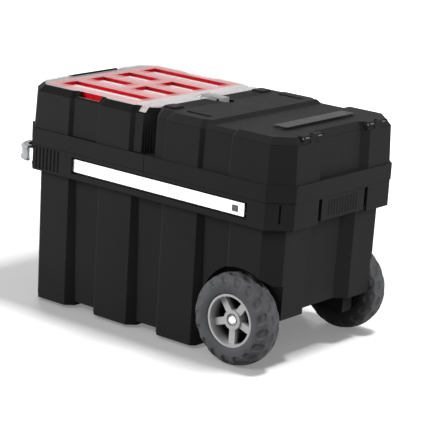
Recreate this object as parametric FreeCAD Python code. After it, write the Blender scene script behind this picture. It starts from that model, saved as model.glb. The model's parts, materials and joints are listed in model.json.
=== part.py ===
import FreeCAD, Part
import math
import os

# Overall sizes
body_length = 598.0
body_width = 348.0
grip_reach = 13.5
wheel_overhang = 7.0
overrun = 5.0

# Heights of the stacked levels
foot_height = 7.0
rim_bottom = 241.0
rim_height = 46.5
slide_gap = 0.5
skirt_height = 29.0
wall_height = 66.0
bevel_height = 11.0
lid_lift = 0.3
lid_rise = 3.0

# Base bin
base_wall = 3.0
base_inset_x = 20.0
base_inset_y = 14.0
base_draft = 2.0
base_corner = 28.0
end_rib = 66.5
base_recess_width = 73.0
base_recess_top = 9.5
base_recess_bottom = 14.0
base_end_half = 67.0
base_end_depth = 19.0
foot_depth = 45.0
mouth_corner = 8.0
pad_start = 36.0
pad_size = 40.0
pad_side = 80.0

# Rim of the bin with the handle channels
rim_inset = 1.5
rim_corner = 35.0
rim_wall = 3.0
rim_lip = 9.0
guide_length = 129.5
channel_tail = 40.0
window_margin = 3.5
window_tail = 8.0
flute_radius = 3.2
flute_depth = 2.0
flute_pitch = 8.8
flute_count = 8
flute_start = 38.0
flute_foot = 4.0
corner_slot_width = 3.0
corner_slot_depth = 5.0
corner_slot_height = 32.0

# Hand pockets in the two end rims
front_pocket_half = 65.0
rear_pocket_half = 71.0

# Ribbed lift grip at the wheel end
lift_half = 62.0
lift_plate = 6.0
lift_height = 39.0
lift_rib_count = 11
lift_rib_pitch = 8.0
lift_rib_width = 4.0
lift_rib_height = 28.0
lift_rib_depth = 0.9

# Wheel wells and legs
wheel_inset = 91.0
wheel_diameter = 160.0
wheel_width = 50.0
axle_height = 73.0
well_gap = 9.0
wheel_room = 3.0
well_step_rise = 67.0
leg_width = 28.0
leg_half = 38.0
leg_drop = 34.0
leg_plate = 4.0
rear_clearance = 7.0

# Axle and wheel parts
axle_radius = 6.0
bore_play = 0.05
washer_radius = 12.0
washer_thick = 2.0
cap_radius = 8.0
cap_length = 6.0
cap_skin = 2.0
cap_dome = 2.0
rim_radius = 46.0
rim_ring = 4.0
rim_ring_width = 42.0
hub_radius = 17.0
hub_recess_radius = 11.0
hub_recess_depth = 7.0
hub_set_in = 11.0
spoke_count = 5
spoke_width = 12.5
spoke_thick = 7.0
spoke_set_in = 14.0
spoke_rib_width = 5.0
spoke_rib_depth = 22.0
bead_half = 21.0
sidewall_bulge_radius = 57.0
tyre_flank_drop = 12.0
tyre_edge_drop = 5.5
tyre_edge_half = 21.0
tyre_round_drop = 1.5
tyre_round_half = 16.0
crown_half = 8.5
tread_count = 17
tread_depth = 3.0
tread_width = 17.0
tread_slant = 14.0
tread_rows_share = ((-0.43, -0.21, 0.7), (-0.16, 0.16, 0.35), (0.21, 0.43, 0.0))
block_low = 65.0
block_high = 75.0
block_width = 12.0
block_rise = 0.7

# Handle
bar_height = 22.5
bar_thick = 6.0
bar_wall = 1.2
bar_cover = 4.0
bar_rise = 13.0
bar_tail = 82.0
bar_play = 0.4
grip_height = 28.0
grip_thick = 12.0
grip_lip = 2.0
grip_lip_height = 6.0
grip_rise = 11.0
grip_stand_off = 1.0
tongue_length = 26.0
tongue_play = 0.1
shoe_length = 22.0
shoe_play = 0.5
rivet_radius = 2.0
tongue_rivet_inset = 13.0
shoe_rivet_inset = 5.0
shoe_rivet_pitch = 12.0

# Side rails, runners and their screws
rail_end_gap = 1.0
rail_height = 21.0
rail_depth = 15.0
rail_thick = 2.0
rail_drop = 4.0
rail_screw_inset = 48.0
runner_start = 8.0
runner_tail = 128.0
runner_play = 0.35
runner_web = 4.0
runner_flange = 18.0
runner_plate = 2.5
runner_gap = 2.5
runner_tongue = 9.5
runner_screw_inset = 20.0
screw_radius = 1.6
screw_head_radius = 3.4
screw_head = 1.6
screw_bite = 2.2
screw_play = 0.05

# Upper boxes
seam_gap = 1.0
skirt_corner = 36.0
box_ledge = 4.0
box_draft = 3.0
box_bevel = 12.0
box_wall = 2.5
box_floor = 2.5
box_recess_width = 64.0
box_recess_depth = 6.0
box_end_side = 105.0
box_end_depth = 12.0
seam_rib = 38.0
seam_corner = 16.0
seam_flute_radius = 1.9
seam_flute_shares = (0.2, 0.4, 0.6, 0.8)
frame_lip = 3.0

# Organiser bins and clear lid
bin_margin_x = 26.0
bin_margin_y = 10.0
bin_start = 48.0
bin_gap = 1.0
bin_wall = 1.6
bin_top_gap = 0.6
pocket_inset_x = 11.0
pocket_inset_y = 14.5
pocket_sink = 8.0
pocket_skin = 2.0
pocket_draft = 1.5
lid_inset = 0.6
oval_x = 19.0
oval_side = 53.0
oval_long = 18.0
oval_short = 10.0
oval_depth = 1.0
tab_drop = 8.0
tab_thick = 2.0
tab_play = 0.4

# Organiser lid hinge
hinge_pin_radius = 1.6
hinge_knuckle = 3.6
hinge_play = 0.4
hinge_barrel_gap = 5.0
hinge_knuckle_width = 28.0
hinge_out = 1.0
hinge_sink = 1.0

# Latch and padlock ear
latch_front = 29.0
latch_half = 9.0
latch_rise = 5.5
latch_sink = 6.0
latch_room = 17.5
latch_slot_half = 4.6
latch_bridge = 14.0
latch_pivot_back = 17.0
latch_pivot_sink = 1.0
latch_lug = 4.0
latch_lug_radius = 4.0
latch_play = 0.4
latch_nose = 4.0
ear_half = 3.8
ear_start = 16.0
ear_length = 12.0
ear_height = 5.0
eye_radius = 3.4
eye_sink = 1.0

# Grip lines beside the latch on both lids
line_inset = 5.0
line_length = 34.0
line_start = 25.0
line_pitch = 5.0
line_width = 1.6
line_depth = 0.5
line_count = 15

# Rear lid
lid_wall = 3.0
band_start_inset = 177.0
band_end_inset = 109.0
band_depth = 6.0
platform_drop = 2.0
label_inset = 87.0
label_length = 28.0
label_side = 76.0
label_depth = 1.0
slot_start = 52.0
slot_end_gap = 18.0
slot_width = 11.0
slot_depth = 4.0
slot_side = 46.0
scoop_radius = 13.0
scoop_x = 36.0
boss_length = 53.0
boss_half = 21.0
stiff_margin = 8.0

# Rear lid hinges
rear_hinge_side = 81.0
rear_hinge_half = 27.0
rear_lug_width = 15.0
rear_knuckle = 4.0
clip_end = 2.0
rear_pin_radius = 2.0
rear_hinge_inset = 1.5
rear_hinge_rise = 9.5
rear_lug_drop = 6.0

# Levels and half sizes that follow from the values above
SQRT2 = math.sqrt(2)
half_length = body_length / 2
half_width = body_width / 2
rim_top = rim_bottom + rim_height
skirt_low = rim_top + slide_gap
skirt_top = skirt_low + skirt_height
wall_top = skirt_top + wall_height
bevel_top = wall_top + bevel_height
lid_top = bevel_top + lid_rise
rim_half_x = half_length - rim_inset
rim_half_y = half_width - rim_inset
base_half_x = half_length - base_inset_x
base_half_y = half_width - base_inset_y
mouth_half_x = base_half_x - base_end_depth
mouth_half_y = base_half_y - base_recess_top
recess_pitch = base_half_x - base_corner - end_rib - base_recess_width / 2
pad_y = base_half_y - pad_side
seam_u = seam_gap / 2
top_inset = box_ledge + box_draft
frame_inset = top_inset + box_bevel
box_end_half = half_width - box_end_side
wheel_radius = wheel_diameter / 2
floor_drop = wheel_radius - axle_height
well_step = axle_height + well_step_rise
rear_rise = axle_height + rear_clearance
well_radius = wheel_radius + well_gap
wheel_x = half_length - wheel_inset
wheel_out = half_width + wheel_overhang
wheel_in = wheel_out - wheel_width
well_wall_y = wheel_in - wheel_room
leg_inner_y = well_wall_y - leg_width
bar_out = rim_half_y - bar_cover
bar_in = bar_out - bar_thick
bar_mid = (bar_out + bar_in) / 2
bar_low = rim_bottom + bar_rise
bar_high = bar_low + bar_height
bar_front = -(rim_half_x + rim_half_y - rim_corner - bar_mid) - grip_thick / 2 - grip_stand_off
bar_back = half_length - bar_tail
rail_half = mouth_half_x - base_wall - mouth_corner - rail_end_gap
rail_high = rim_top - rail_drop
rail_low = rail_high - rail_height
rail_face = mouth_half_y - base_wall
runner_face = rail_face - rail_depth - runner_gap
runner_length = rail_half - runner_start - runner_tail
bin_pitch_x = (half_length - frame_inset - bin_start - bin_margin_x) / 2
bin_pitch_y = (half_width - frame_inset - bin_margin_y) / 2
hinge_u = half_length - frame_inset + hinge_out
hinge_z = bevel_top - hinge_sink
hinge_barrel_half = box_end_half - hinge_barrel_gap
latch_low = lid_top - latch_sink
latch_floor = latch_low - latch_play
pivot_x = -latch_pivot_back
pivot_z = lid_top - latch_pivot_sink
ear_mid = ear_start + ear_length / 2
eye_z = lid_top - eye_sink
band_start = half_length - band_start_inset
band_end = half_length - band_end_inset
label_start = half_length - label_inset
label_half = half_width - label_side
slot_y = half_width - slot_side
rear_hinge_x = half_length - top_inset - rear_hinge_inset
rear_hinge_y = half_width - rear_hinge_side
rear_hinge_z = wall_top + rear_hinge_rise


def vec(x, y, z):
    return FreeCAD.Vector(x, y, z)


def box(x0, x1, y0, y1, z0, z1):
    return Part.makeBox(x1 - x0, y1 - y0, z1 - z0, vec(x0, y0, z0))


def rod_y(x, z, radius, y0, y1):
    return Part.makeCylinder(radius, y1 - y0, vec(x, y0, z), vec(0, 1, 0))


def rod_z(x, y, radius, z0, z1):
    return Part.makeCylinder(radius, z1 - z0, vec(x, y, z0), vec(0, 0, 1))


def mirrored(shape):
    return shape.mirror(vec(0, 0, 0), vec(0, 1, 0))


def both_sides(shapes):
    return shapes + [mirrored(s) for s in shapes]


def joined(first, others):
    return first.fuse(others).removeSplitter()


def face_of(points):
    return Part.Face(Part.makePolygon(points + points[:1]))


# Solid through a list of outlines, each with its height
def stack(levels):
    rings = [[vec(x, y, z) for x, y in points] for points, z in levels]
    faces = [face_of(rings[0]), face_of(rings[-1])]
    for low, high in zip(rings, rings[1:]):
        for i in range(len(low)):
            j = (i + 1) % len(low)
            faces.append(face_of([low[i], low[j], high[j], high[i]]))
    solid = Part.makeSolid(Part.makeShell(faces))
    return solid if solid.Volume > 0 else solid.reversed()


def prism(points, z0, z1):
    return stack([(points, z0), (points, z1)])


# Bar across the chest with a section given in length and height
def bar_across(points, y0, y1):
    face = face_of([vec(x, y0, z) for x, z in points])
    return face.extrude(vec(0, y1 - y0, 0))


# Rectangle with cut corners
def plain_outline(half_x, half_y, corner):
    quarter = [(half_x - corner, -half_y), (half_x, -half_y + corner)]
    right = quarter + [(x, -y) for x, y in reversed(quarter)]
    return right + [(-x, -y) for x, y in right]


# Corrugated outline of the bin
def base_outline(half_x, half_y, depth, inset):
    k = inset * (SQRT2 - 1)
    hx = half_x - inset
    hy = half_y - inset
    corner = base_corner - inset * (2 - SQRT2)
    reach = base_recess_width / 2 + k
    side = [(-hx + corner, -hy)]
    for centre in (-recess_pitch, 0, recess_pitch):
        side.append((centre - reach, -hy))
        side.append((centre - reach + depth, -hy + depth))
        side.append((centre + reach - depth, -hy + depth))
        side.append((centre + reach, -hy))
    side.append((hx - corner, -hy))
    end = [(hx, -hy + corner), (hx, -base_end_half - k)]
    end.append((hx - base_end_depth, -base_end_half - k + base_end_depth))
    end = end + [(x, -y) for x, y in reversed(end)]
    half = side + end
    return half + [(-x, -y) for x, y in half]


# Outline of an upper box, u counted from the seam outwards
def box_outline(side, inset, seam):
    k = inset * (SQRT2 - 1)
    far = half_length - inset
    hy = half_width - inset
    corner = skirt_corner - inset * (2 - SQRT2)
    depth = box_recess_depth
    reach = box_recess_width / 2 + k
    half = [(seam, hy - depth - seam_corner), (seam + seam_corner, hy - depth)]
    half += [(seam_rib - depth + k, hy - depth), (seam_rib + k, hy)]
    half += [(recess_pitch - reach, hy), (recess_pitch - reach + depth, hy - depth)]
    half += [(recess_pitch + reach - depth, hy - depth), (recess_pitch + reach, hy)]
    half += [(far - corner, hy), (far, hy - corner), (far, box_end_half + k)]
    half += [(far - box_end_depth, box_end_half - box_end_depth + k)]
    points = half + [(u, -y) for u, y in reversed(half)]
    return [(side * u, y) for u, y in points]


def skirt_outline(side, inset, seam):
    far = half_length - inset
    hy = half_width - inset
    corner = skirt_corner - inset * (2 - SQRT2)
    half = [(seam, hy), (far - corner, hy), (far, hy - corner)]
    return [(side * u, y) for u, y in half + [(u, -y) for u, y in reversed(half)]]


# Space swept by one wheel, grown by a margin
def well_space(margin):
    radius = well_radius + margin
    inner = well_wall_y - margin
    outer = half_width + overrun
    end = half_length + overrun
    arch = rod_y(wheel_x, axle_height, radius, inner, outer)
    below = box(wheel_x - radius, end, inner, outer, -overrun, axle_height)
    behind = box(wheel_x, end, inner, outer, 0, well_step + margin)
    return both_sides([arch, below, behind])


# Space under the raised rear underside, grown by a margin
def rear_space(margin):
    start = wheel_x - well_radius - margin
    end = half_length + overrun
    reach = well_wall_y + margin
    return box(start, end, -reach, reach, -overrun, rear_rise + margin)


def legs():
    start = wheel_x - leg_half
    end = wheel_x + leg_half
    low = axle_height - leg_drop
    high = rear_rise + base_wall
    leg = box(start, end, leg_inner_y, well_wall_y, low, high)
    hollow = box(start + leg_plate, end - leg_plate, leg_inner_y + leg_plate, well_wall_y - leg_plate,
                 low - overrun, rear_rise)
    bore = rod_y(wheel_x, axle_height, axle_radius + bore_play, 0, well_wall_y + overrun)
    return leg.cut([hollow, bore])


# Pads under the handle end that level the chest with its wheels
def pads():
    start = -base_half_x + pad_start
    return box(start, start + pad_size, pad_y - pad_size / 2, pad_y + pad_size / 2, -floor_drop,
               foot_height + base_wall)


def feet():
    pads = []
    reach = (recess_pitch - base_recess_width) / 2 + base_recess_bottom
    for i in (-1, 1):
        centre = i * recess_pitch / 2
        pads.append((centre - reach, centre + reach))
    end = half_length
    start = recess_pitch + base_recess_width / 2 - base_recess_bottom
    pads.append((-end, -start))
    inner = base_half_y - foot_depth
    return [box(a, b, inner, half_width, -overrun, foot_height + overrun) for a, b in pads]


def rim_cuts():
    cuts = []
    front = -rim_half_x + guide_length
    back = half_length - channel_tail
    inner_y = mouth_half_y
    outer_y = rim_half_y - rim_wall
    low = bar_low - bar_play
    high = rim_top - rim_wall
    cuts.append(box(front, back, inner_y, outer_y, low, high))
    cuts.append(box(-half_length - overrun, front + overrun, bar_in - bar_play, bar_out + bar_play,
                    low, bar_high + bar_play))
    cuts.append(box(front, bar_back + window_tail, outer_y - overrun, half_width,
                    bar_low - window_margin, bar_high + window_margin))
    for i in range(flute_count):
        x = -half_length + flute_start + i * flute_pitch
        y = rim_half_y + flute_radius - flute_depth
        cuts.append(rod_z(x, y, flute_radius, rim_bottom + flute_foot, rim_top - rim_wall))
    slot = box(-corner_slot_width / 2, corner_slot_width / 2, -corner_slot_depth, overrun,
               rim_top - rim_wall - corner_slot_height, rim_top - rim_wall)
    slot.rotate(vec(0, 0, 0), vec(0, 0, 1), -45)
    slot.translate(vec(rim_half_x - rim_corner / 2, rim_half_y - rim_corner / 2, 0))
    cuts.append(slot)
    return both_sides(cuts)


# Hand pockets of the two end rims, deeper over the end recesses
def hand_pockets():
    low = rim_bottom - overrun
    high = rim_top - rim_wall
    deep = base_end_half - base_end_depth
    front = box(-half_length, -base_half_x, -front_pocket_half, front_pocket_half, low, high)
    front_deep = box(-half_length, -mouth_half_x, -deep, deep, low, high)
    rear = box(base_half_x, half_length, -rear_pocket_half, rear_pocket_half, low, high)
    rear_deep = box(mouth_half_x, half_length, -deep, deep, low, high)
    return [front, front_deep, rear, rear_deep]


def base_bin():
    low = base_outline(base_half_x - base_draft, base_half_y - base_draft, base_recess_bottom, 0)
    high = base_outline(base_half_x, base_half_y, base_recess_top, 0)
    low_in = base_outline(base_half_x - base_draft, base_half_y - base_draft, base_recess_bottom,
                          base_wall)
    high_in = base_outline(base_half_x, base_half_y, base_recess_top, base_wall)
    body = stack([(low, 0), (high, rim_bottom)])
    relief = box(-half_length, half_length, -half_width, half_width, -overrun, foot_height)
    body = body.cut(relief.cut(both_sides(feet())))
    body = body.cut(well_space(0) + [rear_space(0)])
    cavity = stack([(low_in, foot_height + base_wall), (high_in, rim_bottom)])
    cavity = cavity.cut(well_space(base_wall) + [rear_space(base_wall)])
    rim = prism(plain_outline(rim_half_x, rim_half_y, rim_corner), rim_bottom, rim_top)
    under = prism(plain_outline(rim_half_x - rim_wall, rim_half_y - rim_wall, rim_corner - rim_wall),
                  rim_bottom - overrun, rim_bottom + rim_lip)
    under = under.cut(prism(high, rim_bottom - overrun, rim_bottom + rim_lip))
    mouth = prism(plain_outline(mouth_half_x - base_wall, mouth_half_y - base_wall, mouth_corner),
                  rim_bottom - base_wall, rim_top + overrun)
    rim = rim.cut([under] + hand_pockets() + rim_cuts())
    shell = joined(body, [rim] + both_sides([legs(), pads()])).cut([cavity, mouth])
    shell = shell.cut(rail_screw_holes())
    return shell.removeSplitter()


def rail_screw_spots():
    pitch = rail_half - rail_screw_inset
    return [(i * pitch, rail_high - rail_height / 2) for i in (-1, 0, 1)]


def rail_screw_holes():
    radius = screw_radius + screw_play
    holes = [rod_y(x, z, radius, rail_face - rail_thick - overrun, rail_face + screw_bite + screw_play)
             for x, z in rail_screw_spots()]
    return both_sides(holes)


# Side rails, left is the -Y side
def side_rail():
    inner = rail_face - rail_depth
    rail = box(-rail_half, rail_half, inner, rail_face, rail_low, rail_high)
    groove = box(-rail_half - overrun, rail_half + overrun, inner - overrun, rail_face - rail_thick,
                 rail_low + rail_thick, rail_high - rail_thick)
    return rail.cut([groove] + rail_screw_holes())


def rail_screws():
    screws = []
    for x, z in rail_screw_spots():
        face = rail_face - rail_thick
        shaft = rod_y(x, z, screw_radius, face - screw_head, rail_face + screw_bite)
        head = rod_y(x, z, screw_head_radius, face - screw_head, face)
        screws.append(joined(shaft, [head]))
    return Part.makeCompound(both_sides(screws))


def rear_grip():
    high = rim_top - rim_wall
    low = high - lift_height
    face = rim_half_x
    plate = box(face - lift_plate, face, -lift_half, lift_half, low, high)
    shelf = box(base_half_x, face, -lift_half, lift_half, high - rim_wall, high)
    ribs = []
    mid = (low + high) / 2
    for i in range(lift_rib_count):
        y = (i - (lift_rib_count - 1) / 2) * lift_rib_pitch
        ribs.append(box(face, face + lift_rib_depth, y - lift_rib_width / 2, y + lift_rib_width / 2,
                        mid - lift_rib_height / 2, mid + lift_rib_height / 2))
    return joined(plate, [shelf] + ribs)


# Axle, caps and washers
def axle():
    reach = wheel_out - hub_set_in - hub_recess_depth + cap_length - cap_skin
    return rod_y(wheel_x, axle_height, axle_radius, -reach, reach)


def axle_caps():
    low = wheel_out - hub_set_in - hub_recess_depth + bore_play * 2
    cap = rod_y(wheel_x, axle_height, cap_radius, low, low + cap_length)
    dome = Part.makeCone(cap_radius, cap_radius - cap_dome, cap_dome,
                         vec(wheel_x, low + cap_length, axle_height), vec(0, 1, 0))
    cap = joined(cap, [dome])
    end = wheel_out - hub_set_in - hub_recess_depth + cap_length - cap_skin
    hole = rod_y(wheel_x, axle_height, axle_radius + bore_play, low - overrun, end)
    return Part.makeCompound(both_sides([cap.cut(hole)]))


def wheel_washers():
    gap = (wheel_in - well_wall_y - washer_thick) / 2
    low = well_wall_y + gap
    ring = rod_y(wheel_x, axle_height, washer_radius, low, low + washer_thick)
    hole = rod_y(wheel_x, axle_height, axle_radius + bore_play, low - overrun,
                 low + overrun + washer_thick)
    return Part.makeCompound(both_sides([ring.cut(hole)]))


# Ring turned about the wheel axis from a section in radius and depth
def turned(section):
    face = face_of([vec(radius, y, 0) for radius, y in section])
    solid = face.revolve(vec(0, 0, 0), vec(0, 1, 0), 360)
    return solid


def wheel_rim():
    mid = (wheel_out + wheel_in) / 2
    half = rim_ring_width / 2
    inner = rim_radius - rim_ring
    ring = turned([(inner, mid - half), (rim_radius, mid - half), (rim_radius, mid + half),
                   (inner, mid + half)])
    hub_low = wheel_in
    hub_high = wheel_out - hub_set_in
    hub = turned([(axle_radius + bore_play, hub_low), (hub_radius, hub_low), (hub_radius, hub_high),
                  (hub_recess_radius, hub_high), (hub_recess_radius, hub_high - hub_recess_depth),
                  (axle_radius + bore_play, hub_high - hub_recess_depth)])
    spokes = []
    high = wheel_out - spoke_set_in
    for i in range(spoke_count):
        arm = box(-spoke_width / 2, spoke_width / 2, high - spoke_thick, high, -inner - rim_ring / 2,
                  -hub_recess_radius - rim_ring / 2)
        rib = box(-spoke_rib_width / 2, spoke_rib_width / 2, high - spoke_thick - spoke_rib_depth,
                  high - spoke_thick, -inner - rim_ring / 2, -hub_recess_radius - rim_ring / 2)
        arm = joined(arm, [rib])
        arm.rotate(vec(0, 0, 0), vec(0, 1, 0), 360 / spoke_count * i)
        spokes.append(arm)
    rim = joined(ring, [hub] + spokes)
    rim.translate(vec(wheel_x, 0, axle_height))
    return rim


# Section of the tyre, sunk at the tread or grown at the sidewalls
def tyre_section(sink, grow):
    mid = (wheel_out + wheel_in) / 2
    half = wheel_width / 2 - block_rise + grow
    crown = wheel_radius - sink
    side = [(rim_radius, bead_half), (sidewall_bulge_radius, half), (crown - tyre_flank_drop, half),
            (crown - tyre_edge_drop, tyre_edge_half + grow), (crown - tyre_round_drop, tyre_round_half),
            (crown, crown_half)]
    return [(r, mid + y) for r, y in side] + [(r, mid - y) for r, y in reversed(side)]


# Rhomboid pockets of the tread, three staggered rows
def tread_pockets():
    mid = (wheel_out + wheel_in) / 2
    cuts = []
    for low, high, phase in tread_rows_share:
        y0, y1 = low * wheel_width, high * wheel_width
        for i in range(tread_count):
            cut = box(-tread_width / 2, tread_width / 2, y0, y1, sidewall_bulge_radius,
                      wheel_radius + overrun)
            cut.rotate(vec(0, (y0 + y1) / 2, 0), vec(0, 0, 1), tread_slant)
            cut.translate(vec(0, mid, 0))
            cut.rotate(vec(0, 0, 0), vec(0, 1, 0), 360 / tread_count * (i + phase))
            cuts.append(cut)
    return Part.makeCompound(cuts)


# Raised blocks where the tread runs out on the sidewalls
def sidewall_blocks():
    mid = (wheel_out + wheel_in) / 2
    blocks = []
    for low, high, phase in (tread_rows_share[0], tread_rows_share[-1]):
        y0 = tyre_round_half if high > 0 else -wheel_width / 2
        y1 = wheel_width / 2 if high > 0 else -tyre_round_half
        for i in range(tread_count):
            block = box(-block_width / 2, block_width / 2, mid + y0, mid + y1, block_low, block_high)
            block.rotate(vec(0, 0, 0), vec(0, 1, 0), 360 / tread_count * (i + phase + 1 / 2))
            blocks.append(block)
    return Part.makeCompound(blocks)


def tyre():
    body = turned(tyre_section(0, 0))
    core = turned(tyre_section(tread_depth, 0))
    skin = turned(tyre_section(0, block_rise))
    body = body.cut(tread_pockets().cut(core))
    blocks = sidewall_blocks().common(skin)
    tread = body.fuse(blocks.Solids).removeSplitter()
    tread.translate(vec(wheel_x, 0, axle_height))
    return tread


# Handle bars, grip, shoes and rivets
def bar_rivet_holes(play):
    radius = rivet_radius + play
    z = (bar_low + bar_high) / 2
    xs = [bar_front + tongue_rivet_inset, bar_back - shoe_rivet_inset,
          bar_back - shoe_rivet_inset - shoe_rivet_pitch]
    return [(x, z, radius) for x in xs]


def handle_bar():
    bar = box(bar_front, bar_back, bar_in, bar_out, bar_low, bar_high)
    core = box(bar_front - overrun, bar_back + overrun, bar_in + bar_wall, bar_out - bar_wall,
               bar_low + bar_wall, bar_high - bar_wall)
    holes = [rod_y(x, z, r, bar_in - overrun, bar_out + overrun) for x, z, r in bar_rivet_holes(bore_play)]
    return bar.cut([core] + holes)


def handle_rivets():
    rivets = []
    for i, (x, z, r) in enumerate(bar_rivet_holes(0)):
        inner = bar_in if i == 0 else bar_in - shoe_rivet_inset
        rivets.append(rod_y(x, z, r, inner, bar_out))
    return Part.makeCompound(both_sides(rivets))


def handle_shoe():
    inner = mouth_half_y + shoe_play
    high = rim_top - rim_wall - shoe_play
    shoe = box(bar_back - shoe_length, bar_back, inner, bar_in, bar_low, high)
    holes = [rod_y(x, z, r, bar_in - shoe_rivet_inset, bar_in + overrun)
             for x, z, r in bar_rivet_holes(bore_play)[1:]]
    return shoe.cut(holes)


def grip_section():
    low = rim_bottom + grip_rise
    high = low + grip_height
    half = grip_thick / 2
    return [(-half, low), (half, low), (half + grip_lip, low + grip_lip),
            (half + grip_lip, low + grip_lip_height),
            (half, low + grip_lip_height + grip_lip), (half, high - grip_lip_height - grip_lip),
            (half + grip_lip, high - grip_lip_height), (half + grip_lip, high - grip_lip * 2),
            (half - grip_lip, high), (-half, high)]


def handle_grip():
    bend = half_length + grip_reach - grip_thick / 2 - grip_lip + bar_front
    cross = bar_front - bend
    straight = bar_mid - bend
    start = vec(bar_front, bar_mid, 0)
    tip = vec(bar_front - bend / SQRT2, straight + bend / SQRT2, 0)
    turn = vec(cross, straight, 0)
    arc = Part.Arc(start, tip, turn).toShape()
    line = Part.makeLine(turn, vec(cross, 0, 0))
    path = Part.Wire([arc, line])
    points = [vec(bar_front, bar_mid + w, z) for w, z in grip_section()]
    section = Part.makePolygon(points + points[:1])
    half = path.makePipeShell([section], True, False)
    tongue = box(bar_front, bar_front + tongue_length, bar_in + bar_wall + tongue_play,
                 bar_out - bar_wall - tongue_play, bar_low + bar_wall + tongue_play,
                 bar_high - bar_wall - tongue_play)
    root = box(bar_front - overrun, bar_front, bar_in + bar_wall + tongue_play,
               bar_out - bar_wall - tongue_play, bar_low + bar_wall + tongue_play,
               bar_high - bar_wall - tongue_play)
    x, z, r = bar_rivet_holes(bore_play)[0]
    half = joined(half, [tongue, root]).cut(rod_y(x, z, r, bar_in - overrun, bar_out + overrun))
    return joined(half, [mirrored(half)])


# Upper boxes
def box_shell(side, top):
    seam = seam_u
    skirt = prism(skirt_outline(side, 0, seam), skirt_low, skirt_top)
    wall = stack([(box_outline(side, box_ledge, seam), skirt_top),
                  (box_outline(side, top_inset, seam), wall_top)])
    flutes = []
    for share in seam_flute_shares:
        u = seam + seam_corner * share
        y = half_width - box_ledge - box_recess_depth - seam_corner * (1 - share)
        flutes.append(rod_z(side * u, y, seam_flute_radius, skirt_top, bevel_top + overrun))
    parts = [wall]
    if top > wall_top:
        parts.append(stack([(box_outline(side, top_inset, seam), wall_top),
                            (box_outline(side, frame_inset, seam), top)]))
    return joined(skirt, parts).cut(both_sides(flutes))


def box_cavity(side, top):
    seam = seam_u + box_wall
    low = skirt_low + box_floor
    levels = [(box_outline(side, box_ledge + box_wall, seam), low),
              (box_outline(side, top_inset + box_wall, seam), wall_top)]
    if top > wall_top:
        levels.append((box_outline(side, frame_inset + frame_lip, seam), top))
        levels.append((box_outline(side, frame_inset + frame_lip, seam), top + overrun))
    else:
        levels.append((box_outline(side, top_inset + box_wall, seam), wall_top + overrun))
    return stack(levels)


def runner_screw_spots(side):
    y = runner_face - runner_web - runner_flange / 2
    xs = [runner_start + runner_screw_inset, runner_start + runner_length - runner_screw_inset]
    return [(side * x, y) for x in xs]


def runner_screw_holes(side):
    radius = screw_radius + screw_play
    holes = [rod_z(x, y, radius, skirt_low - runner_plate - overrun, skirt_low + screw_bite + screw_play)
             for x, y in runner_screw_spots(side)]
    return both_sides(holes)


def runner(side):
    x0 = min(side * runner_start, side * (runner_start + runner_length))
    x1 = x0 + runner_length
    low = rail_low + rail_thick + runner_play
    high = rail_high - rail_thick - runner_play
    web = box(x0, x1, runner_face - runner_web, runner_face, low, skirt_low)
    flange = box(x0, x1, runner_face - runner_web - runner_flange, runner_face,
                 skirt_low - runner_plate, skirt_low)
    tongue = box(x0, x1, runner_face - runner_web, runner_face + runner_gap + runner_tongue, low, high)
    return joined(web, [flange, tongue]).cut(runner_screw_holes(side))


def runner_screws(side):
    screws = []
    for x, y in runner_screw_spots(side):
        face = skirt_low - runner_plate
        shaft = rod_z(x, y, screw_radius, face - screw_head, skirt_low + screw_bite)
        head = rod_z(x, y, screw_head_radius, face - screw_head, face)
        screws.append(joined(shaft, [head]))
    return Part.makeCompound(both_sides(screws))


# Space at the organiser lid hinge where a knuckle needs room
def knuckle_room(y0, y1, play):
    radius = hinge_knuckle + play
    x = -hinge_u
    room = rod_y(x, hinge_z, radius, y0 - play, y1 + play)
    above = box(x - radius, x + radius, y0 - play, y1 + play, hinge_z, hinge_z + radius + overrun)
    return joined(room, [above])


# Lengths of the two tabs on each side of the clear lid
def tab_spans():
    reach = box_recess_width / 2 - box_recess_depth - tab_play
    first = (-recess_pitch - reach, -recess_pitch + reach)
    second = (-seam_rib + box_recess_depth + tab_play, -seam_u - seam_corner)
    return [first, second]


# Room in the frame for the tabs of the clear lid
def tab_rooms():
    inner = half_width - frame_inset - box_recess_depth - frame_lip - overrun
    low = bevel_top - tab_drop - tab_play
    return [box(x0 - tab_play, x1 + tab_play, inner, half_width, low, bevel_top + overrun)
            for x0, x1 in tab_spans()]


# Sloped tabs of the clear lid that close the rooms in the frame
def lid_tabs():
    top_y = half_width - frame_inset - box_recess_depth - lid_inset
    low_y = top_y + tab_drop * box_bevel / bevel_height
    low = bevel_top - tab_drop
    joint = bevel_top + lid_rise
    points = [(low_y, low), (top_y, bevel_top), (top_y, joint), (top_y - tab_thick, joint),
              (top_y - tab_thick, bevel_top - tab_thick / 2), (low_y - tab_thick * SQRT2, low)]
    tabs = []
    for x0, x1 in tab_spans():
        face = face_of([vec(x0, y, z) for y, z in points])
        tabs.append(face.extrude(vec(x1 - x0, 0, 0)))
    return tabs


# Notch for the latch in the seam walls
def latch_notch(x0, x1, half, low):
    return box(x0, x1, -half, half, low, lid_top + latch_rise + overrun)


def organiser_box():
    shell = box_shell(-1, bevel_top)
    barrel = rod_y(-hinge_u, hinge_z, hinge_knuckle, -hinge_barrel_half, hinge_barrel_half)
    base = box(-hinge_u - hinge_knuckle, -hinge_u + hinge_knuckle, -hinge_barrel_half, hinge_barrel_half,
               wall_top, hinge_z)
    shell = joined(shell, [barrel, base])
    outer = hinge_barrel_half + hinge_play + hinge_knuckle_width
    rooms = both_sides([knuckle_room(hinge_barrel_half, outer, hinge_play)])
    pin = rod_y(-hinge_u, hinge_z, hinge_pin_radius + bore_play, -half_width, half_width)
    notch = latch_notch(-seam_corner, 0, latch_half + latch_play, latch_floor)
    cuts = [box_cavity(-1, bevel_top), pin, notch] + rooms + both_sides(tab_rooms())
    return shell.cut(cuts + runner_screw_holes(-1))


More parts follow.
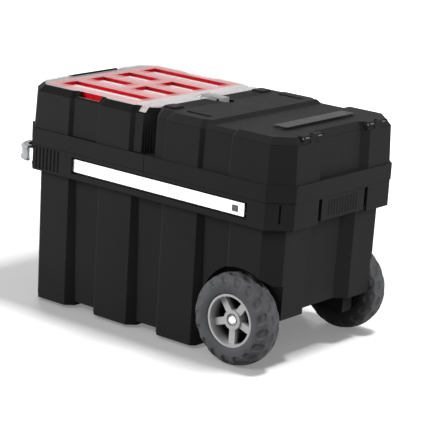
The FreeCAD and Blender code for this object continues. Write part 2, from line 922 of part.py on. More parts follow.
def bin_spots():
    rows = []
    for row in range(4):
        y0 = (row - 2) * bin_pitch_y
        if row in (0, 3):
            rows.append((-bin_start - 2 * bin_pitch_x, -bin_start, y0, y0 + bin_pitch_y))
        else:
            rows.append((-bin_start - 2 * bin_pitch_x, -bin_start - bin_pitch_x, y0, y0 + bin_pitch_y))
            rows.append((-bin_start - bin_pitch_x, -bin_start, y0, y0 + bin_pitch_y))
    return rows


def organiser_bin(spot):
    x0, x1, y0, y1 = spot
    gap = bin_gap / 2
    low = skirt_low + box_floor
    high = bevel_top - bin_top_gap
    body = box(x0 + gap, x1 - gap, y0 + gap, y1 - gap, low, high)
    skin = gap + bin_wall
    return body.cut(box(x0 + skin, x1 - skin, y0 + skin, y1 - skin, low + bin_wall, high + overrun))


def pocket(spot, grow):
    x0, x1, y0, y1 = spot
    x0, x1 = x0 + pocket_inset_x - grow, x1 - pocket_inset_x + grow
    y0, y1 = y0 + pocket_inset_y - grow, y1 - pocket_inset_y + grow
    d = pocket_draft
    high = bevel_top + lid_rise
    low = high - pocket_sink - grow
    top = [(x0, y0), (x1, y0), (x1, y1), (x0, y1)]
    bottom = [(x0 + d, y0 + d), (x1 - d, y0 + d), (x1 - d, y1 - d), (x0 + d, y1 - d)]
    return stack([(bottom, low), (top, high)])


# Shallow grip lines along the chest, from the seam outwards
def grip_lines(side):
    x0, x1 = sorted((side * line_inset, side * (line_inset + line_length)))
    lines = []
    for i in range(line_count):
        y = line_start + i * line_pitch
        lines.append(box(x0, x1, y, y + line_width, lid_top - line_depth, lid_top + overrun))
    return both_sides(lines)


# Oval finger dips in the corners of the clear lid
def finger_dips():
    ring = Part.Ellipse(vec(0, 0, 0), oval_long, oval_short).toShape()
    dip = Part.Face(Part.Wire(ring)).extrude(vec(0, 0, oval_depth + overrun))
    dip.rotate(vec(0, 0, 0), vec(0, 0, 1), 90)
    dip.translate(vec(-oval_x, half_width - oval_side, lid_top - oval_depth))
    return both_sides([dip])


def organiser_lid():
    low = bevel_top + lid_lift
    plate = prism(box_outline(-1, frame_inset + lid_inset, seam_u), low, lid_top)
    knuckles = []
    start = hinge_barrel_half + hinge_play
    end = start + hinge_knuckle_width
    knuckles.append(rod_y(-hinge_u, hinge_z, hinge_knuckle, start, end))
    knuckles.append(box(-hinge_u, -hinge_u + hinge_knuckle * 2, start, end, low, lid_top))
    lug_y = latch_half + latch_play
    lug = rod_y(pivot_x, pivot_z, latch_lug_radius, lug_y, lug_y + latch_lug)
    lid = joined(plate, both_sides(knuckles + [lug] + lid_tabs()))
    lid = joined(lid, [pocket(s, pocket_skin) for s in bin_spots()])
    cuts = [pocket(s, 0) for s in bin_spots()]
    cuts += grip_lines(-1) + finger_dips()
    heel = pivot_x - latch_sink - latch_play
    cuts.append(latch_notch(heel, 0, lug_y, latch_floor))
    cuts.append(box(-half_length, -hinge_u + hinge_knuckle + hinge_play, -hinge_barrel_half - hinge_play,
                    hinge_barrel_half + hinge_play, low - overrun, lid_top + overrun))
    cuts.append(rod_y(-hinge_u, hinge_z, hinge_pin_radius + bore_play, -half_width, half_width))
    cuts.append(rod_y(pivot_x, pivot_z, hinge_pin_radius + bore_play, -half_width, half_width))
    return lid.cut(cuts)


def organiser_hinge_pin():
    reach = hinge_barrel_half + hinge_play + hinge_knuckle_width
    return rod_y(-hinge_u, hinge_z, hinge_pin_radius, -reach, reach)


# Latch, a fork on the clear lid, and its pin
def latch():
    high = lid_top + latch_rise
    radius = pivot_z - latch_low
    profile = [(pivot_x, latch_low), (latch_front, latch_low), (latch_front, high - latch_nose),
               (latch_front - latch_nose, high), (pivot_x + latch_nose, high), (pivot_x, pivot_z + radius)]
    heel = rod_y(pivot_x, pivot_z, radius, -latch_half, latch_half)
    body = joined(bar_across(profile, -latch_half, latch_half), [heel])
    slot = box(pivot_x + latch_bridge, latch_front + overrun, -latch_slot_half, latch_slot_half,
               latch_low - overrun, high + overrun)
    eye = rod_y(ear_mid, eye_z, eye_radius, -half_width, half_width)
    pin = rod_y(pivot_x, pivot_z, hinge_pin_radius + bore_play, -half_width, half_width)
    return body.cut([slot, eye, pin])


def latch_pin():
    reach = latch_half + latch_play + latch_lug
    return rod_y(pivot_x, pivot_z, hinge_pin_radius, -reach, reach)


# Rear box, its lid, hinges and pins
def rear_lugs(grow):
    y0 = rear_hinge_y - rear_lug_width / 2 - grow
    y1 = rear_hinge_y + rear_lug_width / 2 + grow
    barrel = rod_y(rear_hinge_x, rear_hinge_z, rear_knuckle + grow, y0, y1)
    inner = rear_hinge_x - rear_knuckle - grow
    outer = rear_hinge_x + rear_hinge_inset + grow
    stem = box(inner, outer, y0, y1, wall_top - rear_lug_drop, rear_hinge_z)
    return both_sides([joined(barrel, [stem])])


def rear_pin_bores(play):
    low = rear_hinge_y - rear_hinge_half
    high = rear_hinge_y + rear_hinge_half
    bore = rod_y(rear_hinge_x, rear_hinge_z, rear_pin_radius + play, low, high)
    return both_sides([bore])


def rear_box():
    reach = rear_hinge_half + hinge_play
    room = rod_y(rear_hinge_x, rear_hinge_z, rear_knuckle + hinge_play, rear_hinge_y - reach,
                 rear_hinge_y + reach)
    shell = joined(box_shell(1, wall_top).cut(both_sides([room])), rear_lugs(0))
    cuts = [box_cavity(1, wall_top)] + rear_pin_bores(bore_play)
    return shell.cut(cuts + runner_screw_holes(1))


# Two long slots in the rear lid, grown by a wall for their floors
def lid_slots(grow, low, high):
    half = slot_width / 2 + grow
    return both_sides([box(slot_start - grow, band_start - slot_end_gap + grow, slot_y - half,
                           slot_y + half, low, high)])


def rear_lid_hollow():
    low = wall_top + lid_lift
    floor = lid_top - band_depth - lid_wall
    share = (floor - low) / (lid_top - low)
    outline = box_outline(1, top_inset + lid_wall + box_bevel * share, seam_u + lid_wall)
    main = stack([(box_outline(1, top_inset + lid_wall, seam_u + lid_wall), low - overrun),
                  (box_outline(1, top_inset + lid_wall, seam_u + lid_wall), low), (outline, floor)])
    reach = half_width - frame_inset - box_recess_depth - stiff_margin
    front = box(seam_u + stiff_margin, band_start - lid_wall, -reach, reach, floor - overrun,
                lid_top - lid_wall)
    end = half_length - frame_inset - box_end_depth - stiff_margin
    rear = box(band_end + lid_wall, end, -reach, reach, floor - overrun, lid_top - platform_drop - lid_wall)
    boss = box(0, boss_length, -boss_half, boss_half, floor, lid_top)
    return [main, front.cut([boss] + lid_slots(lid_wall, floor, lid_top)), rear]


# Clips of the rear lid round its pins, open upwards and outwards
def rear_clips(low):
    clips = []
    gap = rear_lug_width / 2 + hinge_play
    high = rear_hinge_z + rear_knuckle
    for y0, y1 in ((-rear_hinge_half, -gap), (gap, rear_hinge_half)):
        y0 = y0 + rear_hinge_y
        y1 = y1 + rear_hinge_y
        barrel = rod_y(rear_hinge_x, rear_hinge_z, rear_knuckle, y0, y1)
        web = box(rear_hinge_x - rear_knuckle * 3, rear_hinge_x, y0, y1, low, high)
        mouth = box(rear_hinge_x, half_length, y0 + clip_end, y1 - clip_end, rear_hinge_z, high + overrun)
        clips.append(joined(barrel, [web]).cut(mouth))
    return clips


def rear_lid():
    low = wall_top + lid_lift
    above = lid_top + overrun
    sunk = lid_top - band_depth
    platform_top = lid_top - platform_drop
    lid = stack([(box_outline(1, top_inset, seam_u), low), (box_outline(1, frame_inset, seam_u), lid_top)])
    band = bar_across([(band_start - overrun, above), (band_start + band_depth, sunk),
                       (band_end - band_depth, sunk), (band_end + overrun, above)],
                      -half_width, half_width)
    platform = box(band_end - band_depth, half_length, -half_width, half_width, platform_top, above)
    label = box(label_start, label_start + label_length, -label_half, label_half,
                platform_top - label_depth, lid_top)
    slots = lid_slots(0, lid_top - slot_depth, above)
    scoop = rod_z(scoop_x, 0, scoop_radius, latch_floor, above)
    room = latch_notch(0, latch_front + latch_play, latch_room, latch_floor)
    lid = lid.cut([band, platform, label, scoop, room] + slots + grip_lines(1) + rear_lid_hollow())
    ear_z = lid_top + ear_height - ear_length / 2
    ear_low = latch_floor - lid_wall / 2
    ear = joined(box(ear_start, ear_start + ear_length, -ear_half, ear_half, ear_low, ear_z),
                 [rod_y(ear_mid, ear_z, ear_length / 2, -ear_half, ear_half)])
    lid = joined(lid, [ear] + both_sides(rear_clips(low)))
    eye = rod_y(ear_mid, eye_z, eye_radius, -latch_room, latch_room)
    return lid.cut([eye] + rear_lugs(hinge_play) + rear_pin_bores(bore_play))


def rear_hinge_pins():
    return Part.makeCompound(rear_pin_bores(0))


# Every piece under its own name
def pieces():
    named = {"base_bin": base_bin(), "side_rail_right": side_rail(), "rail_screws": rail_screws()}
    named.update({"rear_grip": rear_grip(), "axle": axle(), "axle_caps": axle_caps()})
    named.update({"wheel_washers": wheel_washers(), "wheel_rim_right": wheel_rim(), "tyre_right": tyre()})
    named.update({"handle_bar_right": handle_bar(), "handle_shoe_right": handle_shoe()})
    named.update({"handle_grip": handle_grip(), "handle_rivets": handle_rivets()})
    named.update({"organiser_box": organiser_box(), "organiser_lid": organiser_lid()})
    named.update({"organiser_runner_right": runner(-1), "organiser_screws": runner_screws(-1)})
    named.update({"organiser_hinge_pin": organiser_hinge_pin(), "latch": latch(), "latch_pin": latch_pin()})
    named.update({"rear_box": rear_box(), "rear_lid": rear_lid(), "rear_hinge_pins": rear_hinge_pins()})
    named.update({"rear_runner_right": runner(1), "rear_screws": runner_screws(1)})
    for i, spot in enumerate(bin_spots()):
        named["bin_" + str(i + 1)] = organiser_bin(spot)
    for name in [n for n in named if n.endswith("_right")]:
        named[name.replace("_right", "_left")] = mirrored(named[name])
    return named


os.makedirs("parts", exist_ok=True)
for name, shape in pieces().items():
    shape.translate(vec(grip_reach / 2, 0, floor_drop))
    shape.exportStep("parts/" + name + ".step")
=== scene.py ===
import json
import math

import bmesh
import bpy
from mathutils import Matrix, Vector


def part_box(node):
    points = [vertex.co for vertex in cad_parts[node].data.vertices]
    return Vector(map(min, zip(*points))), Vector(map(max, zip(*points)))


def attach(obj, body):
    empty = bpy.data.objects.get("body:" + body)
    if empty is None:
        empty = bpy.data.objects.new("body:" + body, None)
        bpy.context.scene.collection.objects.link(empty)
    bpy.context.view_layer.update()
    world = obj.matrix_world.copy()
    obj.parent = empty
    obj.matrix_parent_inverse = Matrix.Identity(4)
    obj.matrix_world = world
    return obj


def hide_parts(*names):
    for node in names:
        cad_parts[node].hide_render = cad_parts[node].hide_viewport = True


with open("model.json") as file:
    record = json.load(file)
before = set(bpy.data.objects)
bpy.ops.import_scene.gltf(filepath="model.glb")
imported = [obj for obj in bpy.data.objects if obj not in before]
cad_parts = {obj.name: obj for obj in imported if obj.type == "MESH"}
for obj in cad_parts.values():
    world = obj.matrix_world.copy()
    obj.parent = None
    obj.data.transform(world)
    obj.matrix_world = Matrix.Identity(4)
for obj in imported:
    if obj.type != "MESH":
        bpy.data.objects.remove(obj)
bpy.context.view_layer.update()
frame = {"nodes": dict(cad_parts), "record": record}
scene = bpy.context.scene
nodes = frame["nodes"]
slots = {row["node"]: row["material_slot"] for row in frame["record"]["subparts"]}
SIDES = {"left": -1, "right": 1}

# Photograph and camera, lengths in metres and angles in degrees
PHOTO_SIZE = 428
CAMERA_AZIMUTH = 38.22
CAMERA_ELEVATION = 15.43
CAMERA_ROLL = 3.64
CAMERA_DISTANCE = 3.457
CAMERA_TARGET = (0.02085, -0.0064, 0.1569)
CAMERA_FOCAL_PIXELS = 1933.4
CAMERA_CENTRE = (206.6, 234.6)
CAMERA_REACH = 100.0
SENSOR = 36.0

# Floor: its reach, and its glow from beside the chest to the far white
FLOOR_REACH = 6.0
FLOOR_COLOUR = (0.8, 0.8, 0.8, 1)
FLOOR_BOUNCE = (0.2, 0.2, 0.2, 1)
FLOOR_GLOW = 0.2
FLOOR_NEAR = 0.55
FLOOR_FAR = 1.5
WHITE = (1, 1, 1, 1)

# Lamps stand round the middle of the chest, in a weak white fill
FILL_LIGHT = 0.2
CHEST_MIDDLE = (0, 0, 0.2)
LAMP_DISTANCE = 2.4

# Edges: steeper ones stay sharp in the shading, and those of a few mouldings are rounded
SMOOTH_ANGLE = math.radians(38)
WELD_GAP = 0.00001
FLAT_ANGLE = math.radians(0.4)
EDGE_ANGLE = math.radians(32)
EDGE_STEPS = 2
BIN_EDGE = 0.0005
EDGE_WIDTHS = {"handle_grip": 0.0008, "rear_grip": 0.0004}
EDGE_WIDTHS.update({node: BIN_EDGE for node, slot in slots.items() if slot == "red_plastic"})

# Moulded plastic: how far its colour and its roughness drift
COLOUR_DRIFT = 0.08
GLOSS_DRIFT = 0.07

# Black plastic: colour, roughness, gloss and the width of its broken edges
BLACK = (0.0205, 0.0205, 0.0213)
BLACK_ROUGH = 0.6
BLACK_LEVEL = 0.05
BLACK_EDGE = 0.0012

# Organiser: how dark the painted shade on its sloping shoulders is, and how far faces look up where that
# shade begins and ends
SHOULDER_SHADE_SHARE = 0.4
SHOULDER_START = 0.25
SHOULDER_END = 0.5

# Wheels: painted shade behind their spokes and bare further out, as distance from the middle of the chest
WHEEL_DARK = 0.148
WHEEL_BARE = 0.164
WHEEL_SHADE = (0.03, 0.05)

# Clear lid: heights of its pockets and its top, and how milky each looks, partly real haze and partly a
# painted sheen of the white surroundings
LID_POCKET = 0.397
LID_TOP = 0.404
LID_DEEP_HAZE_AND_SHEEN = 1.15
LID_TOP_HAZE_AND_SHEEN = 0.62
LID_EDGE_HAZE = 0.4
LID_SIDE_HAZE_AND_SHEEN = 0.03
LID_POCKET_SHINE = 0.7

# Clear lid: tones of its rim at the hinge and at the seam
LID_HINGE_TONE = 0.19
LID_SEAM_TONE = 0.8

# Clear lid: haze when seen face on, and the viewing angles between which it grows into a painted sheen
LID_VEIL = 0.04
LID_VEIL_START = 0.42
LID_VEIL_END = 0.82
LID_CLEAR = (0.98, 0.97, 0.97, 1)

# Clear lid: how far a face looks up to count as a side or as the top, which gets the painted sheen
LID_SIDE_SLOPE = 0.75
LID_TOP_SLOPE = 0.97

# Where the red bins stand under the clear lid
BINS_SIDE = 0.146
BINS_START = -0.246
BINS_END = -0.042
BINS_FADE = 0.006

# Smooth panel on the rear lid, as insets and heights of its levels
LABEL_MIDDLE = (0.23275, 0, 0.406)
LABEL_HALF = (0.0137, 0.0977)
LABEL_CORNER = 0.002
LABEL_LEVELS = ((0, 0), (0, 0.0004), (0.0003, 0.0006))

# Square stud near the tail of each handle bar
STUD_MIDDLE = (0.2046, 0.1685, 0.2718)
STUD_HALF = (0.0062, 0.0056)
STUD_CORNER = 0.0016
STUD_LEVELS = ((0, 0), (0, 0.0007), (0.0004, 0.001), (0.0016, 0.001), (0.002, 0.0004), (0.0034, 0.0004),
               (0.0037, 0.0008))

# Low lug at each end of the rear lid's seam edge, coloured darker than the lid as painted shade
LUG_MIDDLE = (0.0237, 0.1225, 0.404)
LUG_HALF = (0.0135, 0.0155)
LUG_CORNER = 0.006
LUG_LEVELS = ((0, -0.0003), (0.0003, 0.0016), (0.0012, 0.0028), (0.003, 0.0035), (0.0052, 0.0037))
CORNER_STEPS = 6

# Latch: closed cap over the padlock ear, its side view in x and z round the pin
LATCH_PIN = (-0.01025, 0.403)
LATCH_HEEL = 0.005
LATCH_NECK = 0.004
LATCH_FRONT = 0.0405
LATCH_TOP = 0.4095
LATCH_HALF = 0.009
LATCH_HEEL_STEPS = 12
LATCH_EDGE = 0.0009
LATCH_EDGE_STEPS = 3
LATCH_SHARP = math.radians(40)
EAR_ROOM = ((0.0221, -0.0046, 0.39), (0.0354, 0.0046, 0.4091))
EYE = (0.02875, 0.403)
EYE_RADIUS = 0.0034
PIN_RADIUS = 0.00165
BORE_STEPS = 32

# Dark dish that shuts the inner side of each wheel, put behind the spokes as painted shade, as radius and
# distance from the middle of the chest
SHADE_DISH_SECTION = ((0.0165, 0.1364), (0.0425, 0.1364), (0.0425, 0.1382), (0.0165, 0.1382))
SHADE_DISH_STEPS = 64

# Tyres: painted shade on their inner sides up to the tread, as distance from the middle of the chest, and
# shares of the colour
TYRE_DARK = 0.136
TYRE_GREY = 0.141
TYRE_INNER_SHADE = (0.22, 0.28)
TYRE_OUTER = (0.85, 1.2)

# Tyres: half a section as radius and distance from the middle of the tread, from the bead to the crown
TYRE_SECTION = ((0.0462, 0.0205), (0.0485, 0.0228), (0.0545, 0.0245), (0.061, 0.0249), (0.0672, 0.0241),
                (0.0722, 0.0217), (0.0758, 0.018), (0.0782, 0.013), (0.0795, 0.0068), (0.08, 0.0))
TYRE_STEPS = 5

# Tread: pockets in a row, steps in a pocket's pitch, and the depth, slope and squareness of a pocket
TREAD_COUNT = 17
TREAD_STEPS = 16
TREAD_DEPTH = 0.0032
TREAD_WALL = 0.22
TREAD_SQUARE = 3

# Rows of pockets: place along the section, half length, half width, start in pitches and lean per millimetre
TREAD_ROWS = ((-0.0252, 0.0092, 0.0085, 0.0, 0.014), (-0.0078, 0.0062, 0.0085, 0.3, 0.02),
              (0.0078, 0.0062, 0.0085, 0.8, 0.02), (0.0252, 0.0092, 0.0085, 0.5, 0.014))
TREAD_NEAR = 1.2
MILLIMETRES = 1000


# Empty material with one shader
def new_material(name):
    made = bpy.data.materials.new(name)
    made.use_nodes = True
    tree = made.node_tree
    tree.nodes.clear()
    out = tree.nodes.new("ShaderNodeOutputMaterial")
    shader = tree.nodes.new("ShaderNodeBsdfPrincipled")
    tree.links.new(shader.outputs["BSDF"], out.inputs["Surface"])
    return made, tree, shader


# Tree, shader and colour of a material that gets a second colour
def opened(made):
    tree = made.node_tree
    shader = next(node for node in tree.nodes if node.type == "BSDF_PRINCIPLED")
    return tree, shader, shader.inputs["Base Color"].links[0].from_socket


# Point on the resting chest
def place(tree, stretch=(1, 1, 1)):
    coords = tree.nodes.new("ShaderNodeTexCoord")
    mapping = tree.nodes.new("ShaderNodeMapping")
    mapping.inputs["Scale"].default_value = stretch
    tree.links.new(coords.outputs["Object"], mapping.inputs["Vector"])
    return mapping.outputs["Vector"]


# Parts of a vector by name
def split(tree, vector):
    parts = tree.nodes.new("ShaderNodeSeparateXYZ")
    tree.links.new(vector, parts.inputs["Vector"])
    return parts.outputs


# Distance from the chest's middle plane
def from_middle(tree):
    made = tree.nodes.new("ShaderNodeMath")
    made.operation = "ABSOLUTE"
    tree.links.new(split(tree, place(tree))["Y"], made.inputs[0])
    return made.outputs[0]


# How far a face of the resting chest looks upwards
def facing_up(tree):
    coords = tree.nodes.new("ShaderNodeTexCoord")
    return split(tree, coords.outputs["Normal"])["Z"]


def noise(tree, scale, detail=3.0, stretch=(1, 1, 1)):
    made = tree.nodes.new("ShaderNodeTexNoise")
    made.inputs["Scale"].default_value = scale
    made.inputs["Detail"].default_value = detail
    tree.links.new(place(tree, stretch), made.inputs["Vector"])
    return made.outputs["Fac"]


def grain(tree, scale):
    made = tree.nodes.new("ShaderNodeTexVoronoi")
    made.inputs["Scale"].default_value = scale
    tree.links.new(place(tree), made.inputs["Vector"])
    return made.outputs["Distance"]


# Ramp between two colours
def blend(tree, factor, first, second, low=0.3, high=0.7):
    made = tree.nodes.new("ShaderNodeValToRGB")
    ends = made.color_ramp.elements
    ends[0].position = low
    ends[1].position = high
    ends[0].color = (*first, 1)
    ends[1].color = (*second, 1)
    tree.links.new(factor, made.inputs["Fac"])
    return made.outputs["Color"]


# Ramp between two numbers
def spread(tree, factor, low, high, start=0.0, end=1.0):
    made = tree.nodes.new("ShaderNodeMapRange")
    made.inputs["From Min"].default_value = start
    made.inputs["From Max"].default_value = end
    made.inputs["To Min"].default_value = low
    made.inputs["To Max"].default_value = high
    tree.links.new(factor, made.inputs["Value"])
    return made.outputs["Result"]


# One colour passing into another
def shift(tree, factor, first, second):
    made = tree.nodes.new("ShaderNodeMix")
    made.data_type = "RGBA"
    tree.links.new(factor, made.inputs["Factor"])
    tree.links.new(first, made.inputs["A"])
    tree.links.new(second, made.inputs["B"])
    return made.outputs["Result"]


# Two numbers worked into one
def reckon(tree, kind, first, second):
    made = tree.nodes.new("ShaderNodeMath")
    made.operation = kind
    made.use_clamp = True
    tree.links.new(first, made.inputs[0])
    tree.links.new(second, made.inputs[1])
    return made.outputs[0]


def bump(tree, shader, height, strength, distance, under=None):
    made = tree.nodes.new("ShaderNodeBump")
    made.inputs["Strength"].default_value = strength
    made.inputs["Distance"].default_value = distance
    tree.links.new(height, made.inputs["Height"])
    if under:
        tree.links.new(under, made.inputs["Normal"])
    tree.links.new(made.outputs["Normal"], shader.inputs["Normal"])
    return made.outputs["Normal"]


# Two shaders mixed into what an output shows
def mixed(tree, factor, first, second, out):
    mix = tree.nodes.new("ShaderNodeMixShader")
    tree.links.new(factor, mix.inputs["Fac"])
    tree.links.new(first, mix.inputs[1])
    tree.links.new(second, mix.inputs[2])
    tree.links.new(mix.outputs["Shader"], out.inputs["Surface"])


def tint(colour, share):
    return tuple(min(1.0, c * share) for c in colour)


# Moulded plastic with a fine grain, slow colour drift, uneven gloss and, where asked, broken edges
def plastic(name, colour, rough, level, grain_scale=1300.0, grain_depth=0.00012, edge=0.0):
    made, tree, shader = new_material(name)
    slow = noise(tree, scale=7.0, detail=4.0)
    tree.links.new(blend(tree, slow, tint(colour, 1 - COLOUR_DRIFT), tint(colour, 1 + COLOUR_DRIFT)),
                   shader.inputs["Base Color"])
    patches = noise(tree, scale=60.0, detail=5.0)
    tree.links.new(spread(tree, patches, low=rough - GLOSS_DRIFT, high=rough + GLOSS_DRIFT),
                   shader.inputs["Roughness"])
    shader.inputs["Specular IOR Level"].default_value = level
    broken = None
    if edge:
        rounding = tree.nodes.new("ShaderNodeBevel")
        rounding.inputs["Radius"].default_value = edge
        broken = rounding.outputs["Normal"]
    waves = noise(tree, scale=22.0, detail=2.0)
    uneven = bump(tree, shader, waves, strength=0.08, distance=0.004, under=broken)
    bump(tree, shader, grain(tree, grain_scale), strength=0.5, distance=grain_depth, under=uneven)
    return made


# Black plastic with painted shade on faces that look up, such as the shoulders where its walls slope inwards
def painted_shade_shoulders(name):
    made = plastic(name, BLACK, BLACK_ROUGH, BLACK_LEVEL, edge=BLACK_EDGE)
    tree, shader, wall = opened(made)
    # Painted shade: faces that look up are given a darker black
    shoulder_shade = blend(tree, noise(tree, scale=30.0), tint(BLACK, SHOULDER_SHADE_SHARE * 0.9),
                     tint(BLACK, SHOULDER_SHADE_SHARE))
    sloping = spread(tree, facing_up(tree), 0.0, 1.0, SHOULDER_START, SHOULDER_END)
    tree.links.new(shift(tree, sloping, wall, shoulder_shade), shader.inputs["Base Color"])
    return made


# Wheel plastic: bare on the spokes, with painted shade behind them
def wheel(name, colour):
    made = plastic(name, colour, rough=0.45, level=0.3, grain_scale=1500.0, grain_depth=0.0001)
    tree, shader, bare = opened(made)
    # Painted shade: the rim darkens where it lies deeper than the spokes
    spoke_shade = blend(tree, noise(tree, scale=40.0), *(tint(colour, share) for share in WHEEL_SHADE))
    outer = spread(tree, from_middle(tree), 0.0, 1.0, WHEEL_DARK, WHEEL_BARE)
    tree.links.new(shift(tree, outer, spoke_shade, bare), shader.inputs["Base Color"])
    return made


# Metal drawn along one direction
def metal(name, colour, rough, stretch=(1, 1, 1), depth=0.00005):
    made, tree, shader = new_material(name)
    streaks = noise(tree, scale=900.0, detail=4.0, stretch=stretch)
    tree.links.new(blend(tree, streaks, tint(colour, 0.93), tint(colour, 1.04)),
                   shader.inputs["Base Color"])
    shader.inputs["Metallic"].default_value = 1.0
    tree.links.new(spread(tree, streaks, rough - 0.06, rough + 0.08), shader.inputs["Roughness"])
    bump(tree, shader, streaks, strength=0.25, distance=depth)
    return made


# Tyre rubber with a dusty bloom, and painted shade on the inner sides of the tyres
def rubber(name, colour):
    made, tree, shader = new_material(name)
    bloom = noise(tree, scale=40.0, detail=6.0)
    # Painted shade: the inner sides of the tyres are darkened
    inner_shade = blend(tree, bloom, *(tint(colour, share) for share in TYRE_INNER_SHADE))
    outer = blend(tree, bloom, *(tint(colour, share) for share in TYRE_OUTER))
    outside = spread(tree, from_middle(tree), 0.0, 1.0, TYRE_DARK, TYRE_GREY)
    tree.links.new(shift(tree, outside, inner_shade, outer), shader.inputs["Base Color"])
    patches = noise(tree, scale=120.0, detail=4.0)
    tree.links.new(spread(tree, patches, low=0.62, high=0.8), shader.inputs["Roughness"])
    shader.inputs["Specular IOR Level"].default_value = 0.3
    fine = bump(tree, shader, noise(tree, scale=1500.0), strength=0.35, distance=0.0002)
    bump(tree, shader, noise(tree, scale=160.0, detail=2.0), strength=0.1, distance=0.001, under=fine)
    return made


# Clear lid: see-through face on, milky at low angles with a painted sheen strongest on faces that look up,
# pink over the red bins, without a shadow of its own
def clear(name, colour, blush):
    made, tree, shader = new_material(name)
    out = shader.outputs["BSDF"].links[0].to_node
    point = split(tree, place(tree))
    over_bins = spread(tree, from_middle(tree), 1.0, 0.0, BINS_SIDE, BINS_SIDE + BINS_FADE)
    for first, last in ((BINS_START - BINS_FADE, BINS_START), (BINS_END + BINS_FADE, BINS_END)):
        within = spread(tree, point["X"], 0.0, 1.0, first, last)
        over_bins = reckon(tree, "MULTIPLY", over_bins, within)
    upper = spread(tree, point["Z"], 0.0, 1.0, LID_POCKET, LID_TOP)
    rim = blend(tree, spread(tree, point["X"], 0.0, 1.0, BINS_START, BINS_END),
                tint(colour, LID_HINGE_TONE), tint(colour, LID_SEAM_TONE), 0.0, 1.0)
    pocket = blend(tree, noise(tree, scale=30.0), tint(colour, 0.97), colour)
    pink = blend(tree, noise(tree, scale=30.0), tint(blush, 0.9), blush)
    tone = shift(tree, upper, pocket, rim)
    tone = shift(tree, reckon(tree, "MULTIPLY", over_bins, upper), tone, pink)
    tree.links.new(tone, shader.inputs["Base Color"])
    tree.links.new(spread(tree, upper, LID_POCKET_SHINE, 0.0), shader.inputs["Metallic"])
    patches = noise(tree, scale=50.0, detail=4.0)
    tree.links.new(spread(tree, patches, low=0.06, high=0.14), shader.inputs["Roughness"])
    bump(tree, shader, noise(tree, scale=30.0, detail=2.0), strength=0.05, distance=0.002)
    through = tree.nodes.new("ShaderNodeBsdfTransparent")
    through.inputs["Color"].default_value = LID_CLEAR
    weight = tree.nodes.new("ShaderNodeLayerWeight")
    weight.inputs["Blend"].default_value = 0.5
    low_angle = spread(tree, weight.outputs["Facing"], LID_VEIL, 1.0, LID_VEIL_START, LID_VEIL_END)
    # Painted sheen: faces that look up turn far more milky than the sides
    top_sheen_share = spread(tree, facing_up(tree), LID_SIDE_HAZE_AND_SHEEN, 1.0, LID_SIDE_SLOPE, LID_TOP_SLOPE)
    at_seam = spread(tree, point["X"], 0.0, LID_EDGE_HAZE, BINS_END, BINS_END + BINS_FADE)
    haze_and_sheen = reckon(tree, "MULTIPLY", low_angle, spread(tree, upper, LID_DEEP_HAZE_AND_SHEEN, LID_TOP_HAZE_AND_SHEEN))
    haze_and_sheen = reckon(tree, "MULTIPLY", haze_and_sheen, top_sheen_share)
    haze_and_sheen = reckon(tree, "MAXIMUM", haze_and_sheen, at_seam)
    path = tree.nodes.new("ShaderNodeLightPath")
    lit = reckon(tree, "SUBTRACT", haze_and_sheen, path.outputs["Is Shadow Ray"])
    mixed(tree, lit, through.outputs["BSDF"], shader.outputs["BSDF"], out)
    return made


MATERIALS = {
    "black_plastic": plastic("black_plastic_look", BLACK, BLACK_ROUGH, BLACK_LEVEL, edge=BLACK_EDGE),
    "clear_plastic": clear("clear_plastic_look", (0.95, 0.95, 0.95), blush=(0.97, 0.11, 0.12)),
    "red_plastic": plastic("red_plastic_look", (0.56, 0.003, 0.012), rough=0.34, level=0.06,
                           grain_scale=2200.0, grain_depth=0.00004),
    "latch_plastic": plastic("latch_plastic_look", (0.29, 0.295, 0.305), rough=0.28, level=0.45,
                             grain_scale=1800.0, grain_depth=0.00004),
    "wheel_plastic": wheel("wheel_plastic_look", (0.54, 0.54, 0.545)),
    "tyre_rubber": rubber("tyre_rubber_look", (0.085, 0.086, 0.09)),
    "bar_aluminium": metal("bar_aluminium_look", (0.93, 0.93, 0.94), rough=0.3, stretch=(0.02, 1, 1)),
    "grip_plastic": plastic("grip_plastic_look", (0.38, 0.385, 0.4), rough=0.4, level=0.4,
                            grain_scale=1600.0, grain_depth=0.0001),
    "rail_steel": metal("rail_steel_look", (0.5, 0.5, 0.51), rough=0.4, stretch=(0.05, 1, 1)),
    "steel": metal("steel_look", (0.55, 0.55, 0.57), rough=0.38),
    "chrome": metal("chrome_look", (0.88, 0.88, 0.9), rough=0.12, depth=0.00001),
}

# Looks of single nodes and of the small pieces made here
OWN_LOOKS = {
    "rear_hinge_pins": metal("dull_steel_look", (0.16, 0.16, 0.165), rough=0.5),
    "organiser_box": painted_shade_shoulders("organiser_painted_shade_look"),
}
LABEL_LOOK = plastic("label_look", (0.031, 0.031, 0.032), rough=0.42, level=0.1, grain_scale=2600.0,
                     grain_depth=0.00002)
# Painted shade: the lugs are a darker black than the lid
LUG_SHADE_LOOK = plastic("lug_shade_look", (0.007, 0.007, 0.0075), rough=0.5, level=0.06, grain_scale=2600.0,
                   grain_depth=0.00003)
STUD_LOOK = plastic("stud_look", (0.16, 0.16, 0.165), rough=0.4, level=0.3, grain_scale=2400.0,
                    grain_depth=0.00003)


